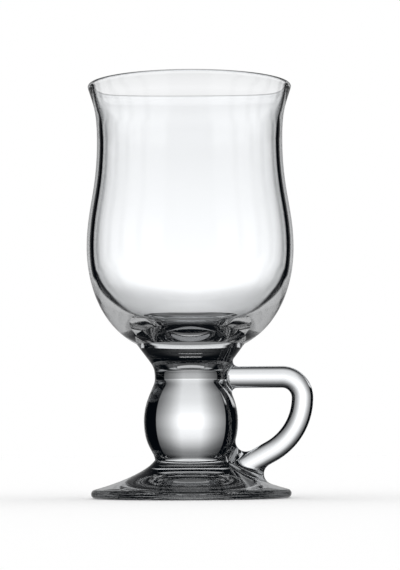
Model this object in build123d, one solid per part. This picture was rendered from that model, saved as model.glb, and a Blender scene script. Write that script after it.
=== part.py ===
from build123d import *
import os
from math import acos, atan2, cos, degrees, hypot, radians, sin

# Footed glass mug for hot coffee: bowl, stem, foot and handle, each its own gather of clear glass.
# Millimetres, +Z up, the origin on the mug's axis at the plane it stands on, the handle towards +X.
# A pull is the length of a curve's handle: how far the curve keeps its direction as it leaves a point.

# Heights, stacked from the table up
FOOT_HEIGHT = 13.7  # table to the crease under the knop
KNOP_RISE = 14.1  # crease to the widest ring of the knop
NECK_RISE = 14.95  # knop ring to the narrowest ring of the neck
WELD_RISE = 12.7  # neck ring to the seam between stem and bowl
BELLY_RISE = 35.15  # seam to the widest ring of the bowl
WAIST_RISE = 38.65  # belly ring to the narrowest ring of the bowl
RIM_RISE = 20.75  # waist ring to the top of the lip

# Radii of the outline, on the outside of the glass
FOOT_RADIUS = 36.1
CREASE_RADIUS = 13.05
KNOP_RADIUS = 17.0
NECK_RADIUS = 13.0
WELD_RADIUS = 19.5
BELLY_RADIUS = 37.5
WAIST_RADIUS = 33.7
LIP_RADIUS = 37.0

# Thickness of the bowl's glass
BELLY_WALL = 2.44
WAIST_WALL = 2.26
LIP_WALL = 1.85
BASE_THICKNESS = 2.95  # seam to the floor of the bowl, on the axis

# How the outline turns at each ring, as angles from the horizontal and pulls
BASE_ANGLE = 27.2  # underside of the bowl as it leaves the seam
BASE_PULL = 13.5
BELLY_PULL_DOWN = 15.0
BELLY_PULL_UP = 13.8
WAIST_PULL_DOWN = 18.25
WAIST_PULL_UP = 11.1
LIP_ANGLE = 72.6  # outside of the wall where it reaches the lip
LIP_PULL = 6.5
LIP_INNER_ANGLE = 80.0  # inside of the wall where it reaches the lip
LIP_INNER_PULL = 5.0
WAIST_INNER_PULL = 8.0
FLOOR_PULL = 14.0  # middle of the bowl's floor
FLOOR_SIDE_PULL = 28.0  # inside of the belly, towards the floor
SHOULDER_ANGLE = 53.9  # neck where it opens out to the seam
SHOULDER_PULL = 10.5
NECK_PULL_UP = 5.1
NECK_PULL_DOWN = 2.9
KNOP_PULL_UP = 7.7
KNOP_PULL_DOWN = 9.2
CREASE_ANGLE = 86.4  # underside of the knop where it meets the foot
CREASE_PULL = 3.3
SLOPE_TOP_ANGLE = 55.7  # top of the foot where it leaves the crease
SLOPE_TOP_PULL = 5.4
SLOPE_EDGE_ANGLE = 14.3  # top of the foot where it reaches the edge
SLOPE_EDGE_PULL = 7.05

# Edge and underside of the foot
EDGE_RADIUS = 1.6
REST_RING_WIDTH = 4.0  # flat ring that touches the table
HOLLOW_DEPTH = 3.0

# Handle: one round rod in the XZ plane
ROD_RADIUS = 3.9
HANDLE_RISE = 0.7  # neck ring to the rod's centre line
HANDLE_REACH = 40.3  # mug's axis to the rod's own centre line, at its outermost
TOP_BEND_RADIUS = 7.4
LOWER_BEND_RADIUS = 22.2
LANDING_OUT = 3.15  # end of the rod's centre line, outwards from the crease
LANDING_DROP = 4.05  # and below the crease
NECK_BLEND = 1.8  # radius of the blend where the softened rod spreads on to the neck
FOOT_BLEND = 3.7  # and on to the foot and the knop
NECK_STUB = 20.0  # mug's axis to the end of the straight piece that carries the neck's blend
FOOT_STUB = 24.0  # last bend to the end, inside the foot, of the straight piece that carries its blends
ROOT_DEPTH = 22.0  # how far the foot's and the knop's sides are carried on behind the crease

crease_z = FOOT_HEIGHT
knop_z = crease_z + KNOP_RISE
neck_z = knop_z + NECK_RISE
weld_z = neck_z + WELD_RISE
belly_z = weld_z + BELLY_RISE
waist_z = belly_z + WAIST_RISE
rim_z = waist_z + RIM_RISE
rod_z = neck_z + HANDLE_RISE


def along(point, angle, length):
    """The point that lies length away from point, at an angle from the horizontal."""
    return (point[0] + length * cos(radians(angle)), point[1] + length * sin(radians(angle)))


def curve(start, start_angle, start_pull, end, end_angle, end_pull):
    """A smooth curve that leaves start and reaches end at the given angles."""
    leave = along(start, start_angle, start_pull)
    arrive = along(end, end_angle, -end_pull)
    return Bezier(start, leave, arrive, end)


def turned(*edges):
    """The solid of revolution about Z of a closed half-outline drawn as (radius, height)."""
    half = Plane.XZ * make_face(Curve() + list(edges))
    return revolve(half, axis=Axis.Z)


def make_bowl():
    """Bowl with a rounded base, a waist under the lip and a round fire-polished lip."""
    weld = (WELD_RADIUS, weld_z)
    belly = (BELLY_RADIUS, belly_z)
    waist = (WAIST_RADIUS, waist_z)
    lip_round = LIP_WALL / 2
    lip_centre = (LIP_RADIUS - lip_round, rim_z - lip_round)
    lip_out = along(lip_centre, LIP_ANGLE - 90, lip_round)
    lip_top = along(lip_centre, LIP_ANGLE, lip_round)
    lip_in = along(lip_centre, LIP_INNER_ANGLE + 90, lip_round)
    waist_in = (WAIST_RADIUS - WAIST_WALL, waist_z)
    belly_in = (BELLY_RADIUS - BELLY_WALL, belly_z)
    floor = (0, weld_z + BASE_THICKNESS)
    return turned(
        Line((0, weld_z), weld),
        curve(weld, BASE_ANGLE, BASE_PULL, belly, 90, BELLY_PULL_DOWN),
        curve(belly, 90, BELLY_PULL_UP, waist, 90, WAIST_PULL_DOWN),
        curve(waist, 90, WAIST_PULL_UP, lip_out, LIP_ANGLE, LIP_PULL),
        ThreePointArc(lip_out, lip_top, lip_in),
        curve(lip_in, LIP_INNER_ANGLE + 180, LIP_INNER_PULL, waist_in, -90, WAIST_INNER_PULL),
        curve(waist_in, -90, WAIST_PULL_DOWN, belly_in, -90, BELLY_PULL_UP),
        curve(belly_in, -90, FLOOR_SIDE_PULL, floor, 180, FLOOR_PULL),
        Line(floor, (0, weld_z)),
    )


def make_stem():
    """Solid neck and ball knop, from the seam under the bowl to the crease on the foot."""
    weld = (WELD_RADIUS, weld_z)
    neck = (NECK_RADIUS, neck_z)
    knop = (KNOP_RADIUS, knop_z)
    crease = (CREASE_RADIUS, crease_z)
    return turned(
        Line((0, weld_z), weld),
        curve(weld, SHOULDER_ANGLE + 180, SHOULDER_PULL, neck, -90, NECK_PULL_UP),
        curve(neck, -90, NECK_PULL_DOWN, knop, -90, KNOP_PULL_UP),
        curve(knop, -90, KNOP_PULL_DOWN, crease, CREASE_ANGLE + 180, CREASE_PULL),
        Line(crease, (0, crease_z)),
        Line((0, crease_z), (0, weld_z)),
    )


def make_foot():
    """Flared foot with a rounded edge and a shallow hollow inside its flat resting ring."""
    crease = (CREASE_RADIUS, crease_z)
    edge_centre = (FOOT_RADIUS - EDGE_RADIUS, EDGE_RADIUS)
    slope_end = along(edge_centre, 90 - SLOPE_EDGE_ANGLE, EDGE_RADIUS)
    edge_out = (FOOT_RADIUS, EDGE_RADIUS)
    ring_out = (edge_centre[0], 0)
    ring_in = (edge_centre[0] - REST_RING_WIDTH, 0)
    hollow_top = (0, HOLLOW_DEPTH)
    return turned(
        Line((0, crease_z), crease),
        curve(crease, -SLOPE_TOP_ANGLE, SLOPE_TOP_PULL, slope_end, -SLOPE_EDGE_ANGLE, SLOPE_EDGE_PULL),
        ThreePointArc(slope_end, edge_out, ring_out),
        Line(ring_out, ring_in),
        TangentArc(hollow_top, ring_in, tangent=(1, 0)),
        Line(hollow_top, (0, crease_z)),
    )


def foot_side():
    """The top of the foot carried on upwards as a cone, so that a blend can roll past the crease."""
    crease = (CREASE_RADIUS, crease_z)
    edge = (FOOT_RADIUS - EDGE_RADIUS, EDGE_RADIUS)
    slope_end = along(edge, 90 - SLOPE_EDGE_ANGLE, EDGE_RADIUS)
    cone_top = along(crease, 180 - SLOPE_TOP_ANGLE, CREASE_RADIUS / cos(radians(SLOPE_TOP_ANGLE)))
    return turned(
        Line(cone_top, crease),
        curve(crease, -SLOPE_TOP_ANGLE, SLOPE_TOP_PULL, slope_end, -SLOPE_EDGE_ANGLE, SLOPE_EDGE_PULL),
        Polyline(slope_end, (slope_end[0], -ROOT_DEPTH), (0, -ROOT_DEPTH), cone_top),
    )


def knop_side():
    """The lower half of the knop carried on downwards as a cone, for the blend on the knop."""
    knop = (KNOP_RADIUS, knop_z)
    crease = (CREASE_RADIUS, crease_z)
    cone_end = along(crease, CREASE_ANGLE, -ROOT_DEPTH)
    return turned(
        Line((0, knop_z), knop),
        curve(knop, -90, KNOP_PULL_DOWN, crease, CREASE_ANGLE + 180, CREASE_PULL),
        Polyline(crease, cone_end, (0, cone_end[1]), (0, knop_z)),
    )


def rod_piece(start, direction, length):
    """A straight piece of the rod that leaves a point of the XZ plane."""
    whole = Cylinder(ROD_RADIUS, length, align=(Align.CENTER, Align.CENTER, Align.MIN))
    return Plane(origin=(start.X, 0, start.Y), z_dir=(direction.X, 0, direction.Y)) * whole


def blended(rod, glass, radius):
    """A piece of the rod with a round blend where it meets the glass, without that glass."""
    joined = glass + rod
    return fillet(new_edges(glass, rod, combined=joined), radius) - glass


def make_handle(stem):
    """Round rod from the neck, out, round two bends and back to the foot, blended on to the glass there."""
    landing = (CREASE_RADIUS + LANDING_OUT, crease_z - LANDING_DROP)
    bend_centre = (HANDLE_REACH - LOWER_BEND_RADIUS, rod_z - TOP_BEND_RADIUS)
    away = (landing[0] - bend_centre[0], landing[1] - bend_centre[1])
    tangent_angle = acos(LOWER_BEND_RADIUS / hypot(*away))
    lower_turn = -degrees(tangent_angle + atan2(away[1], away[0]))
    top_run = Line((NECK_STUB, rod_z), (HANDLE_REACH - TOP_BEND_RADIUS, rod_z))
    top_bend = JernArc(top_run @ 1, top_run % 1, TOP_BEND_RADIUS, -90)
    lower_bend = JernArc(top_bend @ 1, top_bend % 1, LOWER_BEND_RADIUS, -lower_turn)
    path = Plane.XZ * (top_run + top_bend + lower_bend)
    section = Plane(origin=path @ 0, z_dir=path % 0) * Circle(ROD_RADIUS)
    rod = sweep(section, path=path)
    neck_end = blended(rod_piece(Vector(0, rod_z), top_run % 0, NECK_STUB), stem, NECK_BLEND)
    foot_rod = rod_piece(lower_bend @ 1, lower_bend % 1, FOOT_STUB)
    slope = foot_side()
    foot_end = blended(foot_rod, slope, FOOT_BLEND) - stem
    knop_end = blended(foot_rod, knop_side(), FOOT_BLEND) - slope
    return neck_end + rod + foot_end + knop_end


os.makedirs("parts", exist_ok=True)
bowl = make_bowl()
stem = make_stem()
foot = make_foot()
handle = make_handle(stem)
for name, piece in (("bowl", bowl), ("stem", stem), ("foot", foot), ("handle", handle)):
    export_step(piece, f"parts/{name}.step")
    print(f"{name}: {piece.volume:.0f} cubic mm, {len(piece.solids())} solid")
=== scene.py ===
from bisect import bisect
from math import acos, atan2, cos, degrees, hypot, pi, radians, sin

import bmesh
import bpy
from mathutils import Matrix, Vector


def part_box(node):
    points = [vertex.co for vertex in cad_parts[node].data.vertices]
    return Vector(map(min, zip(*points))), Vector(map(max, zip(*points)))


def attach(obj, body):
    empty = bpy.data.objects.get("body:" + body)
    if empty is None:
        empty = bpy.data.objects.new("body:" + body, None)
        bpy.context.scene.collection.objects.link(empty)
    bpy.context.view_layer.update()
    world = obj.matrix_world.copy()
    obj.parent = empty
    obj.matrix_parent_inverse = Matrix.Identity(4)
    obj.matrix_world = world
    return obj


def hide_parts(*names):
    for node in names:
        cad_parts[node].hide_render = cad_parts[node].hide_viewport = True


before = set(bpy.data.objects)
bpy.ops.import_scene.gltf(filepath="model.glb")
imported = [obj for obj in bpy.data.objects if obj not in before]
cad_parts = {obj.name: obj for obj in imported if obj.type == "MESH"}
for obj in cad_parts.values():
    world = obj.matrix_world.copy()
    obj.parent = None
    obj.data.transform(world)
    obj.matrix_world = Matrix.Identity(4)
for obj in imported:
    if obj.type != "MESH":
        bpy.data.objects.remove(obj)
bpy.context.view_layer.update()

# Bowl: the cup of the mug, clear soda-lime glass, blown in a mould from one gather.
# Its wall runs down into a thin floor that is fused hot to the stem, and its cracked-off lip is
# melted round by a flame, so the whole surface is as smooth as liquid.
MM = 0.001


def along(point, angle, length):
    """The point that lies length away from point, at an angle in degrees from the horizontal."""
    return (point[0] + length * cos(radians(angle)), point[1] + length * sin(radians(angle)))


def curve(start, start_angle, start_pull, end, end_angle, end_pull, steps):
    """Points of a smooth curve that leaves start and reaches end at the given angles, without end."""
    leave = along(start, start_angle, start_pull)
    arrive = along(end, end_angle, -end_pull)
    points = []
    for step in range(steps):
        t = step / steps
        weights = ((1 - t) ** 3, 3 * t * (1 - t) ** 2, 3 * t * t * (1 - t), t ** 3)
        corners = (start, leave, arrive, end)
        points.append(tuple(sum(w * c[axis] for w, c in zip(weights, corners)) for axis in (0, 1)))
    return points


def arc(centre, radius, first, last, steps):
    """Points of a circular arc between two angles in degrees, without the last."""
    return [along(centre, first + (last - first) * step / steps, radius) for step in range(steps)]


def linear(colour):
    """An sRGB hex colour as linear red, green, blue and alpha."""
    values = [int(colour[i:i + 2], 16) / 255 for i in (1, 3, 5)]
    return [v / 12.92 if v <= 0.04045 else ((v + 0.055) / 1.055) ** 2.4 for v in values] + [1.0]


def add(tree, kind, inputs=None, **settings):
    """Adds a node with its settings; inputs maps its sockets to values or to other nodes' outputs."""
    node = tree.nodes.new(kind)
    for name, value in settings.items():
        setattr(node, name, value)
    for socket, value in (inputs or {}).items():
        if isinstance(value, bpy.types.NodeSocket):
            tree.links.new(value, node.inputs[socket])
        else:
            node.inputs[socket].default_value = value
    return node


def clear_glass(name, colour, ripple):
    """Clear soda-lime glass with a fire-polished skin: mirror smooth, with a slow ripple 22 mm long."""
    material = bpy.data.materials.new(name)
    material.use_nodes = True
    tree = material.node_tree
    shader = tree.nodes["Principled BSDF"]
    shader.inputs["Base Color"].default_value = linear(colour)
    shader.inputs["Roughness"].default_value = 0.0
    shader.inputs["IOR"].default_value = 1.52
    shader.inputs["Transmission Weight"].default_value = 1.0
    place = add(tree, "ShaderNodeTexCoord")
    waves = add(tree, "ShaderNodeTexNoise", {"Vector": place.outputs["Object"], "Scale": 45.0, "Detail": 1.0})
    bump = add(tree, "ShaderNodeBump", {"Height": waves.outputs["Fac"], "Strength": 1.0, "Distance": ripple})
    tree.links.new(bump.outputs["Normal"], shader.inputs["Normal"])
    return material


# Fused glass seam: two gathers melted into one, so light goes straight through where they meet.
weld = bpy.data.materials.new("fused glass seam")
weld.use_nodes = True
weld.node_tree.nodes.clear()
seam_clear = add(weld.node_tree, "ShaderNodeBsdfTransparent")
add(weld.node_tree, "ShaderNodeOutputMaterial", {"Surface": seam_clear.outputs["BSDF"]})

turning = bpy.data.node_groups.new("turned glass", "GeometryNodeTree")
turning.interface.new_socket("Outline", in_out="INPUT", socket_type="NodeSocketGeometry")
facets_socket = turning.interface.new_socket("Facets", in_out="INPUT", socket_type="NodeSocketInt")
glass_socket = turning.interface.new_socket("Glass", in_out="INPUT", socket_type="NodeSocketMaterial")
weld_socket = turning.interface.new_socket("Weld", in_out="INPUT", socket_type="NodeSocketMaterial")
turning.interface.new_socket("Piece", in_out="OUTPUT", socket_type="NodeSocketGeometry")
given = add(turning, "NodeGroupInput").outputs
size = add(turning, "GeometryNodeAttributeDomainSize", {"Geometry": given["Outline"]}, component="MESH")
rings = add(turning, "FunctionNodeIntegerMath", {0: given["Facets"], 1: 1}, operation="ADD")
grid = add(turning, "GeometryNodeMeshGrid",
           {"Vertices X": rings.outputs[0], "Vertices Y": size.outputs["Point Count"]})
index = add(turning, "GeometryNodeInputIndex")
count = size.outputs["Point Count"]
ring = add(turning, "FunctionNodeIntegerMath", {0: index.outputs[0], 1: count}, operation="DIVIDE_FLOOR")
step = add(turning, "FunctionNodeIntegerMath", {0: index.outputs[0], 1: count}, operation="MODULO")
turn = add(turning, "ShaderNodeMath", {0: ring.outputs[0], 1: given["Facets"]}, operation="DIVIDE")
angle = add(turning, "ShaderNodeMath", {0: turn.outputs[0], 1: 2 * pi}, operation="MULTIPLY")
where = add(turning, "GeometryNodeInputPosition")
sample = add(turning, "GeometryNodeSampleIndex",
             {"Geometry": given["Outline"], "Value": where.outputs[0], "Index": step.outputs[0]},
             data_type="FLOAT_VECTOR", domain="POINT")
spot = add(turning, "ShaderNodeSeparateXYZ", {0: sample.outputs["Value"]})
cosine = add(turning, "ShaderNodeMath", {0: angle.outputs[0]}, operation="COSINE")
sine = add(turning, "ShaderNodeMath", {0: angle.outputs[0]}, operation="SINE")
along_x = add(turning, "ShaderNodeMath", {0: spot.outputs["X"], 1: cosine.outputs[0]}, operation="MULTIPLY")
along_y = add(turning, "ShaderNodeMath", {0: spot.outputs["X"], 1: sine.outputs[0]}, operation="MULTIPLY")
turned_spot = add(turning, "ShaderNodeCombineXYZ",
                  {"X": along_x.outputs[0], "Y": along_y.outputs[0], "Z": spot.outputs["Z"]})
flag = add(turning, "GeometryNodeInputNamedAttribute", {"Name": "weld"}, data_type="BOOLEAN")
flag_at = add(turning, "GeometryNodeSampleIndex",
              {"Geometry": given["Outline"], "Value": flag.outputs["Attribute"], "Index": step.outputs[0]},
              data_type="BOOLEAN", domain="POINT")
kept_flag = add(turning, "GeometryNodeStoreNamedAttribute",
                {"Geometry": grid.outputs["Mesh"], "Name": "weld", "Value": flag_at.outputs["Value"]},
                data_type="BOOLEAN", domain="POINT")
placed = add(turning, "GeometryNodeSetPosition",
             {"Geometry": kept_flag.outputs["Geometry"], "Position": turned_spot.outputs[0]})
closed = add(turning, "GeometryNodeMergeByDistance",
             {"Geometry": placed.outputs["Geometry"], "Distance": 0.001 * MM})
smooth = add(turning, "GeometryNodeSetShadeSmooth", {"Geometry": closed.outputs["Geometry"]})
edge_angle = add(turning, "GeometryNodeInputMeshEdgeAngle")
crisp_from = radians(12)
crisp = add(turning, "FunctionNodeCompare", {0: edge_angle.outputs["Unsigned Angle"], 1: crisp_from},
            data_type="FLOAT", operation="GREATER_THAN")
creased = add(turning, "GeometryNodeSetShadeSmooth",
              {"Geometry": smooth.outputs["Geometry"], "Selection": crisp.outputs[0], "Shade Smooth": False},
              domain="EDGE")
whole = add(turning, "GeometryNodeRealizeInstances", {"Geometry": creased.outputs["Geometry"]})
glazed = add(turning, "GeometryNodeSetMaterial",
             {"Geometry": whole.outputs["Geometry"], "Material": given["Glass"]})
seamed = add(turning, "GeometryNodeSetMaterial",
             {"Geometry": glazed.outputs["Geometry"], "Selection": flag.outputs["Attribute"],
              "Material": given["Weld"]})
add(turning, "NodeGroupOutput", {"Piece": seamed.outputs["Geometry"]})
facets = 192


def turned_piece(name, outline, glass):
    """Turns an outline of (radius, height, on a weld) points about Z into the closed mesh of one piece."""
    line = bpy.data.meshes.new(name)
    line.from_pydata([(radius, 0, height) for radius, height, _ in outline],
                     [(i, i + 1) for i in range(len(outline) - 1)], [])
    line.attributes.new("weld", "BOOLEAN", "POINT").data.foreach_set("value", [w for _, _, w in outline])
    blank = bpy.data.objects.new(name + "_outline", line)
    bpy.context.collection.objects.link(blank)
    modifier = blank.modifiers.new("turned", "NODES")
    modifier.node_group = turning
    modifier[facets_socket.identifier] = facets
    modifier[glass_socket.identifier] = glass
    modifier[weld_socket.identifier] = weld
    seen = blank.evaluated_get(bpy.context.evaluated_depsgraph_get())
    mesh = bpy.data.meshes.new_from_object(seen)
    bpy.data.objects.remove(blank)
    mesh.attributes.remove(mesh.attributes["weld"])
    piece = bpy.data.objects.new(name, mesh)
    bpy.context.collection.objects.link(piece)
    return piece


weld_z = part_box("stem")[1][2]
rim_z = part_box("bowl")[1][2]
weld_radius = 19.5 * MM
belly = (37.5 * MM, 90.6 * MM)
waist = (33.7 * MM, 129.25 * MM)
belly_wall = 2.44 * MM
waist_wall = 2.26 * MM
lip_wall = 1.85 * MM
base_thickness = 2.95 * MM
base_angle = 27.2
lip_radius = 37 * MM
lip_angle = 72.6
lip_inner_angle = 80
belly_in = (belly[0] - belly_wall, belly[1])
waist_in = (waist[0] - waist_wall, waist[1])
bowl_floor = (0, weld_z + base_thickness)
lip_round = lip_wall / 2
lip_centre = (lip_radius - lip_round, rim_z - lip_round)
lip_out = along(lip_centre, lip_angle - 90, lip_round)
lip_in = along(lip_centre, lip_inner_angle + 90, lip_round)
bowl_outline = (
    [(0, weld_z, True), (weld_radius, weld_z, True)]
    + [(*point, False) for point in (
        curve((weld_radius, weld_z), base_angle, 13.5 * MM, belly, 90, 15 * MM, 48)[1:]
        + curve(belly, 90, 13.8 * MM, waist, 90, 18.25 * MM, 36)
        + curve(waist, 90, 11.1 * MM, lip_out, lip_angle, 6.5 * MM, 24)
        + arc(lip_centre, lip_round, lip_angle - 90, lip_inner_angle + 90, 20)
        + curve(lip_in, lip_inner_angle + 180, 5 * MM, waist_in, -90, 8 * MM, 24)
        + curve(waist_in, -90, 18.25 * MM, belly_in, -90, 13.8 * MM, 36)
        + curve(belly_in, -90, 28 * MM, bowl_floor, 180, 14 * MM, 64)
        + [bowl_floor]
    )]
)
bowl_glass = clear_glass("clear soda-lime glass, blown", "#fbfcfd", 0.02 * MM)
bowl = turned_piece("glass_bowl", bowl_outline, bowl_glass)
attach(bowl, "root")
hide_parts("bowl")

# Stem: the solid neck and ball knop, one gather of the same glass pressed in a mould.
# It is fused to the bowl above it and to the foot below it.
crease = (13.05 * MM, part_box("foot")[1][2])
knop = (17 * MM, 27.8 * MM)
neck = (13 * MM, 42.75 * MM)
shoulder_angle = 53.9
crease_angle = 86.4
stem_side = (
    curve((weld_radius, weld_z), 180 + shoulder_angle, 10.5 * MM, neck, -90, 5.1 * MM, 32)
    + curve(neck, -90, 2.9 * MM, knop, -90, 7.7 * MM, 40)
    + curve(knop, -90, 9.2 * MM, crease, 180 + crease_angle, 3.3 * MM, 36)
    + [crease]
)
stem_outline = (
    [(0, weld_z, True), (*stem_side[0], True)]
    + [(*point, False) for point in stem_side[1:-1]]
    + [(*crease, True), (0, crease[1], True)]
)
pressed_glass = clear_glass("clear soda-lime glass, pressed", "#f7f9fb", 0.02 * MM)
stem = turned_piece("glass_stem", stem_outline[::-1], pressed_glass)
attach(stem, "root")
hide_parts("stem")

# Foot: a flared disc of the same glass, pressed with a rounded edge.
# Its underside is hollow, so that only a ring near the edge touches the table.
foot_radius = 36.1 * MM
edge_round = 1.6 * MM
slope_top_angle = 55.7
slope_edge_angle = 14.3
rest_ring = 4 * MM
hollow_depth = 3 * MM
edge_centre = (foot_radius - edge_round, edge_round)
slope_end = along(edge_centre, 90 - slope_edge_angle, edge_round)
ring_in = edge_centre[0] - rest_ring
hollow_round = (ring_in ** 2 + hollow_depth ** 2) / (2 * hollow_depth)
hollow_half = degrees(atan2(ring_in, hollow_round - hollow_depth))
foot_slope = curve(crease, -slope_top_angle, 5.4 * MM, slope_end, -slope_edge_angle, 7.05 * MM, 64)
foot_outline = (
    [(0, crease[1], True), (*crease, True)]
    + [(*point, False) for point in (
        foot_slope[1:]
        + arc(edge_centre, edge_round, 90 - slope_edge_angle, -90, 24)
        + [(edge_centre[0], 0)]
        + arc((0, hollow_depth - hollow_round), hollow_round, 90 - hollow_half, 90, 32)
        + [(0, hollow_depth)]
    )]
)
foot = turned_piece("glass_foot", foot_outline[::-1], pressed_glass)
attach(foot, "root")
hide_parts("foot")

# Handle: a round rod of the same glass, bent hot into an ear.
# Its two soft ends were pressed on to the neck and on to the foot, where they spread and fused.
rod_radius = 3.9 * MM
rod_z = neck[1] + 0.7 * MM
reach = 40.3 * MM
top_bend = 7.4 * MM
lower_bend = 22.2 * MM
stub = 20 * MM
neck_blend = 1.8 * MM
foot_blend = 3.7 * MM
landing = (crease[0] + 3.15 * MM, crease[1] - 4.05 * MM)
end_length = 25 * MM
fused_share = 0.9
fused_rows = 6
seat_gap = 0.02 * MM
around = 72
side = (stem_side + foot_slope[1:] + [slope_end])[::-1]
side_heights = [height for _, height in side]


def in_glass(spot):
    """Whether a point lies inside the outline of the stem or the foot."""
    after = min(max(bisect(side_heights, spot.z), 1), len(side) - 1)
    (r0, z0), (r1, z1) = side[after - 1], side[after]
    return hypot(spot.x, spot.y) < r0 + (r1 - r0) * (spot.z - z0) / (z1 - z0)


def seat(start, direction):
    """How far a point travels along direction before it meets the stem or the foot."""
    low = 0.0
    while low < 40 * MM and not in_glass(start + direction * (low + MM)):
        low += MM
    high = low + MM
    for _ in range(14):
        middle = (low + high) / 2
        if in_glass(start + direction * middle):
            high = middle
        else:
            low = middle
    return low - seat_gap


def nearest(line, spot):
    """The distance from a point to a line of points, and the point of the line that is nearest."""
    found = []
    for (x0, y0), (x1, y1) in zip(line, line[1:]):
        dx, dy = x1 - x0, y1 - y0
        share = min(max(((spot[0] - x0) * dx + (spot[1] - y0) * dy) / (dx * dx + dy * dy), 0), 1)
        point = (x0 + share * dx, y0 + share * dy)
        found.append((hypot(point[0] - spot[0], point[1] - spot[1]), point))
    return min(found)


def ring_way(direction, number):
    """The way out from the rod's centre line to one of the points around its section."""
    turn_angle = 2 * pi * number / around
    across = Vector((-direction.z, 0, direction.x))
    return Vector((0, 1, 0)) * cos(turn_angle) + across * sin(turn_angle)


def rod_end(centre, direction, blend):
    """Rings from the rod's section at centre, round a blend and on to the glass, and its spread."""
    straight_rings, blend_rings, cap_rings = 10, 16, 8
    columns = []
    spread = []
    for number in range(around):
        out = ring_way(direction, number)
        offsets = [(rod_radius + 2.6 * blend) * i / 40 for i in range(41)]
        ground = [(offset, seat(centre + out * offset, direction)) for offset in offsets]
        low = 0.0
        high = seat(centre + out * (rod_radius + blend), direction)
        for _ in range(22):
            middle = (low + high) / 2
            if nearest(ground, (rod_radius + blend, middle))[0] > blend:
                low = middle
            else:
                high = middle
        ball = (rod_radius + blend, low)
        touch = nearest(ground, ball)[1]
        last = degrees(atan2(touch[1] - ball[1], touch[0] - ball[0]))
        line = [(rod_radius, low * i / straight_rings) for i in range(1, straight_rings)]
        line += arc(ball, blend, 180, last, blend_rings) + [touch]
        for i in range(1, cap_rings):
            offset = touch[0] * fused_share * (cap_rings - i) / (cap_rings - 1)
            step_size = ground[1][0]
            spot = min(int(offset / step_size), len(ground) - 2)
            part_way = offset / step_size - spot
            line.append((offset, ground[spot][1] * (1 - part_way) + ground[spot + 1][1] * part_way))
        columns.append([centre + out * offset + direction * depth for offset, depth in line])
        spread.append(touch[0])
    rings = [list(ring_points) for ring_points in zip(*columns)]
    return rings, centre + direction * seat(centre, direction), spread


bend_centre = (reach - lower_bend, rod_z - top_bend)
away = (landing[0] - bend_centre[0], landing[1] - bend_centre[1])
lower_turn = -degrees(acos(lower_bend / hypot(*away)) + atan2(away[1], away[0]))
path = [((stub + (reach - top_bend - stub) * i / 16, rod_z), 0) for i in range(16)]
path += [(along((reach - top_bend, rod_z - top_bend), 90 - turned_by, top_bend), turned_by)
         for turned_by in (90 * i / 32 for i in range(32))]
path += [(along(bend_centre, -turned_by, lower_bend), 90 + turned_by)
         for turned_by in (lower_turn * i / 48 for i in range(49))]
rod_rings = []
for (x, z), turned_by in path:
    heading = Vector((cos(radians(turned_by)), 0, -sin(radians(turned_by))))
    rod_rings.append([Vector((x, 0, z)) + ring_way(heading, number) * rod_radius for number in range(around)])
neck_start = Vector((stub, 0, rod_z))
neck_way = Vector((-1, 0, 0))
neck_rings, neck_middle, neck_spread = rod_end(neck_start, neck_way, neck_blend)
foot_start = Vector((path[-1][0][0], 0, path[-1][0][1]))
foot_way = Vector((cos(radians(path[-1][1])), 0, -sin(radians(path[-1][1]))))
foot_rings, foot_middle, foot_spread = rod_end(foot_start, foot_way, foot_blend)
neck_rings = [[ring_points[-number % around] for number in range(around)] for ring_points in neck_rings]
rings_all = neck_rings[::-1] + rod_rings + foot_rings
handle_mesh = bpy.data.meshes.new("glass_handle")
shape = bmesh.new()
rows = [[shape.verts.new(point) for point in ring_points] for ring_points in rings_all]
for place, (row, next_row) in enumerate(zip(rows, rows[1:])):
    for number in range(around):
        after = (number + 1) % around
        face = shape.faces.new((row[number], row[after], next_row[after], next_row[number]))
        face.material_index = int(place < fused_rows or place > len(rows) - 2 - fused_rows)
for row, middle in ((rows[0], shape.verts.new(neck_middle)), (rows[-1], shape.verts.new(foot_middle))):
    for number in range(around):
        face = shape.faces.new((middle, row[number], row[(number + 1) % around]))
        face.material_index = 1
bmesh.ops.recalc_face_normals(shape, faces=shape.faces)
for face in shape.faces:
    face.smooth = True
for edge in shape.edges:
    edge.smooth = edge.calc_face_angle(0) < radians(30)
shape.to_mesh(handle_mesh)
shape.free()
handle_mesh.materials.append(pressed_glass)
handle_mesh.materials.append(weld)
handle = bpy.data.objects.new("glass_handle", handle_mesh)
bpy.context.collection.objects.link(handle)
for piece in (stem, foot):
    for start, way, spread in ((neck_start, neck_way, neck_spread), (foot_start, foot_way, foot_spread)):
        covered = []
        for vertex in piece.data.vertices:
            off = vertex.co - start
            depth = off.dot(way)
            flat = off - way * depth
            number = atan2(flat.dot(ring_way(way, around / 4)), flat.y) / (2 * pi) * around % around
            limit = spread[int(number)]
            covered.append(0 < depth < end_length and vertex.co.x > 0 and flat.length < fused_share * limit)
        for polygon in piece.data.polygons:
            if all(covered[i] for i in polygon.vertices):
                polygon.material_index = 1
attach(handle, "root")
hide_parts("handle")

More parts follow.
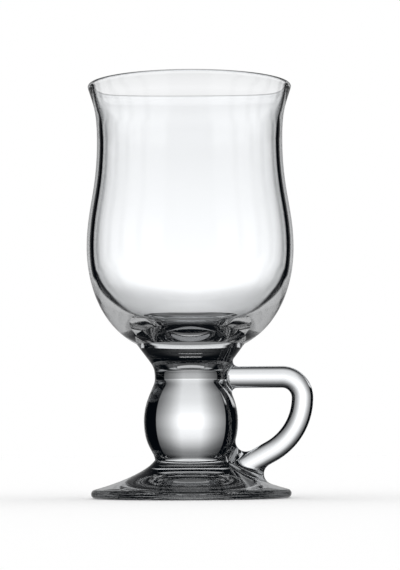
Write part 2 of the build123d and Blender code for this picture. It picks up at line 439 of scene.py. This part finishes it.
# Table: a plain sheet of matt white paper under the mug, which keeps the mug's soft shadow.
# The glass looks past it into the studio, whose lower half stands in for the bright table.
table_half = 4.0
table_z = -0.1 * MM
table_mesh = bpy.data.meshes.new("table")
table_mesh.from_pydata([(-table_half, -table_half, table_z), (table_half, -table_half, table_z),
                        (table_half, table_half, table_z), (-table_half, table_half, table_z)],
                       [], [(0, 1, 2, 3)])
paper = bpy.data.materials.new("white table paper")
paper.use_nodes = True
paper.node_tree.nodes.clear()
paper_skin = add(paper.node_tree, "ShaderNodeBsdfDiffuse", {"Color": (1, 1, 1, 1)})
add(paper.node_tree, "ShaderNodeOutputMaterial", {"Surface": paper_skin.outputs["BSDF"]})
table_mesh.materials.append(paper)
table = bpy.data.objects.new("table", table_mesh)
bpy.context.collection.objects.link(table)
table.visible_glossy = False
table.visible_transmission = False

# Cards: small sheets close behind the mug, as a photographer of glass sets them up for dark edges.
# Black felt keeps the side of the knop and the top of the foot dark, a strip of grey gauze dims the
# neck, and a wide sheet of tracing paper dims the window towards the top of the bowl.
felt = bpy.data.materials.new("black felt")
gauze = bpy.data.materials.new("grey gauze")
tracing = bpy.data.materials.new("tracing paper")
for material in (felt, gauze, tracing):
    material.use_nodes = True
    material.node_tree.nodes.clear()
felt_skin = add(felt.node_tree, "ShaderNodeEmission", {"Color": linear("#05080c"), "Strength": 1.0})
add(felt.node_tree, "ShaderNodeOutputMaterial", {"Surface": felt_skin.outputs["Emission"]})
gauze_skin = add(gauze.node_tree, "ShaderNodeBsdfTransparent", {"Color": linear("#acacac")})
add(gauze.node_tree, "ShaderNodeOutputMaterial", {"Surface": gauze_skin.outputs["BSDF"]})
tracing_low, tracing_high = 105 * MM, 218 * MM
tracing_at = add(tracing.node_tree, "ShaderNodeTexCoord")
tracing_z = add(tracing.node_tree, "ShaderNodeSeparateXYZ", {0: tracing_at.outputs["Object"]})
tracing_share = add(tracing.node_tree, "ShaderNodeMapRange", {
    "Value": tracing_z.outputs["Z"], "From Min": tracing_low, "From Max": tracing_high})
tracing_ramp = add(tracing.node_tree, "ShaderNodeValToRGB", {"Fac": tracing_share.outputs["Result"]})
tracing_stops = [(0, "#ffffff"), (0.6, "#ebebeb"), (0.7, "#ebebeb"), (1, "#ffffff")]
while len(tracing_ramp.color_ramp.elements) < len(tracing_stops):
    tracing_ramp.color_ramp.elements.new(0.5)
for element, (share, colour) in zip(tracing_ramp.color_ramp.elements, tracing_stops):
    element.position = share
    element.color = linear(colour)
tracing_skin = add(tracing.node_tree, "ShaderNodeBsdfTransparent", {"Color": tracing_ramp.outputs["Color"]})
add(tracing.node_tree, "ShaderNodeOutputMaterial", {"Surface": tracing_skin.outputs["BSDF"]})
for name, material, y, x_from, x_to, z_from, z_to in (
        ("card_knop", felt, 26 * MM, -13 * MM, -5.5 * MM, 21 * MM, 36 * MM),
        ("card_foot", felt, 32 * MM, -18 * MM, 14 * MM, 9.5 * MM, 18 * MM),
        ("card_neck", gauze, 24 * MM, -14 * MM, 14 * MM, 42 * MM, 50 * MM),
        ("card_bowl", tracing, 400 * MM, -400 * MM, 400 * MM, tracing_low, tracing_high)):
    card_mesh = bpy.data.meshes.new(name)
    card_mesh.from_pydata([(x_from, y, z_from), (x_to, y, z_from), (x_to, y, z_to), (x_from, y, z_to)],
                          [], [(0, 1, 2, 3)])
    card_mesh.materials.append(material)
    card = bpy.data.objects.new(name, card_mesh)
    bpy.context.collection.objects.link(card)
    card.visible_camera = False
    card.visible_diffuse = False
    card.visible_shadow = False

# Studio: plain white all round for the camera and for the table's light.
# The glass sees a soft white window behind the mug, black flags beside it and a pale room. How often a
# ray was bounced or let through sets how much of each it sees, for the clean tones of a retouched picture.
world = bpy.data.worlds.new("studio")
bpy.context.scene.world = world
world.use_nodes = True
sky = world.node_tree
sky.nodes.clear()
look = add(sky, "ShaderNodeTexCoord")
way_out = add(sky, "ShaderNodeSeparateXYZ", {0: look.outputs["Generated"]})
ray = add(sky, "ShaderNodeLightPath")


def profile(angle, stops):
    """Level along an angle: stops are pairs of angle and level, joined by straight lines."""
    first, last = stops[0][0], stops[-1][0]
    share = add(sky, "ShaderNodeMapRange", {"Value": angle, "From Min": first, "From Max": last})
    ramp = add(sky, "ShaderNodeValToRGB", {"Fac": share.outputs["Result"]})
    elements = ramp.color_ramp.elements
    while len(elements) < len(stops):
        elements.new(0.5)
    for element, (angle_at, level) in zip(elements, stops):
        element.position = (angle_at - first) / (last - first)
        element.color = (level, level, level, 1)
    return ramp.outputs["Color"]


def light(across_level, up_level):
    """A patch of light whose level falls off across and up."""
    return add(sky, "ShaderNodeMath", {0: across_level, 1: up_level}, operation="MULTIPLY").outputs[0]


def lit_by(*patches):
    """The brightest of several patches of light."""
    level = patches[0]
    for patch in patches[1:]:
        level = add(sky, "ShaderNodeMath", {0: level, 1: patch}, operation="MAXIMUM").outputs[0]
    return level


# degrees left or right of straight behind the mug, and degrees above the level
bearing = add(sky, "ShaderNodeMath", {0: way_out.outputs["X"], 1: way_out.outputs["Y"]}, operation="ARCTAN2")
aside = add(sky, "ShaderNodeMath", {0: bearing.outputs[0]}, operation="DEGREES").outputs[0]
across = add(sky, "ShaderNodeMath", {0: aside}, operation="ABSOLUTE").outputs[0]
rise = add(sky, "ShaderNodeMath", {0: way_out.outputs["Z"]}, operation="ARCSINE")
up = add(sky, "ShaderNodeMath", {0: rise.outputs[0]}, operation="DEGREES").outputs[0]

# straight through solid glass: the window, the table, and the room beside and before the mug
window = light(
    profile(across, [(0, 1.3), (8, 1.3), (9, 1.26), (11, 1.15), (12, 1.08), (15, 0.92), (16, 0.86),
                     (20, 0.66), (24, 0.52), (28, 0.41), (32, 0.32), (36, 0.25), (36.6, 0), (40, 0)]),
    profile(up, [(-90, 0), (-45, 0.05), (-40, 0.1), (-35, 0.25), (-30, 0.48), (-25, 0.62), (-22, 0.64),
                 (-15, 0.68), (-12, 0.72), (-9, 0.79), (-6, 0.84), (-3, 0.95), (0, 1), (3, 0.98),
                 (5, 0.92), (6.2, 0.86), (7.5, 0.84), (10.5, 0.77), (13.5, 0.68), (16.5, 0.58),
                 (20, 0.46), (25, 0.22), (31, 0.15), (35, 0.05), (50, 0.03), (60, 0), (90, 0)]))
below = light(profile(aside, [(-180, 1), (-42, 1), (-37, 0), (74, 0), (78, 1), (180, 1)]),
              profile(up, [(-90, 0.95), (-17, 0.95), (-13, 0), (0, 0)]))
beside = light(profile(across, [(78, 0), (82, 1), (180, 1)]),
               profile(up, [(-24, 0), (-14, 0.95), (14, 0.95), (24, 0)]))
before = light(profile(across, [(98, 0), (106, 0.95), (180, 0.95)]),
               profile(up, [(-90, 1), (20, 1), (40, 0.3), (90, 0.2)]))
solid = lit_by(window, below, beside, before, profile(up, [(-90, 0.95), (-66, 0.95), (-58, 0)]))

# through both walls of the bowl: a window that narrows downwards, and the room past its flags
half_width = profile(up, [(-30, 11), (-25, 11.5), (-18, 13), (-12, 14.5), (-8, 17.5), (-1, 25), (4, 28.8),
                          (8, 31.6), (90, 89)])
inside = add(sky, "ShaderNodeMath", {0: half_width, 1: across}, operation="SUBTRACT").outputs[0]
bowl_window = light(
    profile(inside, [(0, 0), (1, 0.15), (2, 0.5), (3, 0.7), (9, 0.74), (13, 0.87), (16, 1), (18, 1.1),
                     (20, 1.25), (22, 1.3)]),
    profile(up, [(-90, 0), (-50, 0.2), (-40, 0.7), (-24, 1), (-17, 1), (-6, 0.95), (-3, 1), (8, 1),
                 (10.5, 0.9), (16, 0.7), (25, 0.4), (90, 0.2)]))
room = light(profile(inside, [(-16, 1), (-8, 0), (0, 0)]),
             lit_by(profile(up, [(-12, 1), (-8, 0)]), profile(across, [(74, 0), (78, 1)])))
hollow = lit_by(bowl_window, room,
                profile(up, [(-90, 1.1), (-70, 1.1), (-62, 0.22), (-43, 0.22), (-38, 0)]))

# through both walls with a few bounces: a faint copy of that window
faint_window = add(sky, "ShaderNodeMath", {0: bowl_window, 1: 0.08}, operation="MULTIPLY").outputs[0]
faint = lit_by(
    faint_window,
    profile(up, [(-90, 0.3), (-44, 0.3), (-38, 0), (54, 0), (60, 0.1), (70, 0.1), (90, 0.06)]),
    light(profile(across, [(80, 0), (88, 0.35)]), profile(up, [(-60, 0), (-55, 1), (30, 1), (40, 0)])),
    light(profile(across, [(84, 0), (92, 0.45)]), profile(up, [(53, 0), (57, 1), (68, 1), (72, 0)])))

# after one bounce in the glass: a grey room with narrow dark flags round the mug, and a strip overhead
lean = profile(up, [(-33, 2), (-29, 0), (-26, -4.5), (-9, -4.5), (-4.5, 6)])
leaning = add(sky, "ShaderNodeMath", {0: across, 1: lean}, operation="ADD").outputs[0]
flags = profile(leaning, [
    (0, 1), (27, 1), (31.5, 0), (44, 0), (46, 1), (51, 1), (53, 0), (58, 0), (60, 1), (75, 1), (77, 0),
    (83, 0), (85, 1), (95, 1), (97, 0), (103, 0), (105, 1), (120, 1), (122, 0), (128, 0), (130, 1), (153, 1),
    (157, 0), (180, 0)])
wall = lit_by(
    light(flags, profile(up, [
        (-90, 0), (-44, 0), (-40, 0.15), (-35, 0.15), (-33, 0.4), (-31.5, 0.58), (-14, 0.58), (-8, 0.7),
        (-2, 0.85), (10, 0.85), (16, 0.55), (25, 0.35), (38, 0.25), (45, 0.1), (52, 0), (90, 0)])),
    profile(up, [(54, 0), (58, 0.3), (66, 0.35), (72, 0.1), (90, 0.06)]),
    light(profile(way_out.outputs["Y"], [(-0.13, 0), (-0.1, 0.55), (0.03, 0.55), (0.06, 0)]),
          profile(up, [(66, 0), (70, 1), (90, 1)])))

# after a few bounces: almost dark, with a few soft spots behind and before the mug
dim = lit_by(
    light(profile(across, [(0, 0.08), (15, 0.05), (25, 0.02), (30, 0.01), (180, 0.01)]),
          profile(up, [(-90, 0.2), (24, 0.2), (36, 1), (46, 0.6), (54, 0.1), (90, 0.1)])),
    light(profile(across, [(0, 0.45), (12, 0.45), (18, 0), (30, 0)]),
          profile(up, [(0, 0), (2, 1), (12, 1), (15, 0)])),
    light(profile(across, [(0, 0.9), (13, 0.9), (16, 0)]),
          profile(up, [(56.5, 0), (57.3, 1), (60, 1), (62, 0)])),
    light(profile(across, [(102, 0), (106, 0.25), (130, 0.25), (138, 0)]),
          profile(up, [(-22, 0), (-19, 1), (-13, 1), (-9, 0)])),
    light(profile(across, [(0, 0.2), (26, 0.2), (30, 0)]),
          profile(up, [(-36, 0), (-33, 1), (-22, 1), (-18, 0)])))

# after many bounces along the wall: an even grey near the level, and at last only a patch high in front
deep = lit_by(
    light(profile(across, [(44, 0.03), (56, 0.3), (66, 0.5), (156, 0.5), (161, 0.03), (180, 0.03)]),
          profile(up, [(-27, 0), (-24, 1), (57, 1), (61, 0)])),
    light(profile(across, [(160, 0), (166, 0.35)]), profile(up, [(50, 0), (54, 1), (59, 1), (62, 0)])))
lost = light(profile(across, [(110, 0), (120, 0.4), (164, 0.4), (172, 0)]),
             profile(up, [(34, 0), (38, 1), (57, 1), (60, 0)]))

# off the outer skin: a weak gleam of the window
gleam = add(sky, "ShaderNodeMath", {0: window, 1: 0.35}, operation="MULTIPLY").outputs[0]

# which of them a ray sees
bounces = ray.outputs["Glossy Depth"]
skins = ray.outputs["Transmission Depth"]
once = add(sky, "ShaderNodeMath", {0: bounces, 1: 0.5}, operation="GREATER_THAN").outputs[0]
twice = add(sky, "ShaderNodeMath", {0: bounces, 1: 1.5}, operation="GREATER_THAN").outputs[0]
several = add(sky, "ShaderNodeMath", {0: bounces, 1: 3.5}, operation="GREATER_THAN").outputs[0]
often = add(sky, "ShaderNodeMath", {0: bounces, 1: 6.5}, operation="GREATER_THAN").outputs[0]
endless = add(sky, "ShaderNodeMath", {0: bounces, 1: 20.5}, operation="GREATER_THAN").outputs[0]
through_both = add(sky, "ShaderNodeMath", {0: skins, 1: 3.5}, operation="GREATER_THAN").outputs[0]
mirrored = add(sky, "ShaderNodeMath", {0: skins, 1: 0.5}, operation="LESS_THAN").outputs[0]
in_hollow = add(sky, "ShaderNodeMix", {0: once, 2: hollow, 3: faint}).outputs[0]
in_hollow = add(sky, "ShaderNodeMix", {0: several, 2: in_hollow, 3: dim}).outputs[0]
level = solid
for test, patch in ((once, wall), (twice, dim), (often, deep), (endless, lost), (through_both, in_hollow),
                    (mirrored, gleam)):
    level = add(sky, "ShaderNodeMix", {0: test, 2: level, 3: patch}).outputs[0]
studio = add(sky, "ShaderNodeMix", {0: level, 6: linear("#05080c"), 7: (1, 1, 1, 1)},
             data_type="RGBA", clamp_factor=False)
by_glass = add(sky, "ShaderNodeMath",
               {0: ray.outputs["Is Glossy Ray"], 1: ray.outputs["Is Transmission Ray"]}, operation="MAXIMUM")
seen_sky = add(sky, "ShaderNodeMix", {0: by_glass.outputs[0], 6: (1, 1, 1, 1), 7: studio.outputs[2]},
               data_type="RGBA")
glow = add(sky, "ShaderNodeBackground", {"Color": seen_sky.outputs[2], "Strength": 1.0})
add(sky, "ShaderNodeOutputWorld", {"Surface": glow.outputs[0]})

# Camera: low, about level with the knop, so that the rim shows from below.
camera_data = bpy.data.cameras.new("camera")
camera_data.lens = 148.5
camera_data.sensor_width = 36
camera = bpy.data.objects.new("camera", camera_data)
camera.location = (3.2 * MM, -0.85, 18.1 * MM)
camera.rotation_euler = (radians(90 + 3.956), radians(0.3), 0)
bpy.context.collection.objects.link(camera)
scene = bpy.context.scene
scene.camera = camera
scene.view_settings.view_transform = "Standard"
glass_bounces = 32
scene.cycles.max_bounces = glass_bounces
scene.cycles.transmission_bounces = glass_bounces
scene.cycles.glossy_bounces = glass_bounces
scene.cycles.transparent_max_bounces = glass_bounces
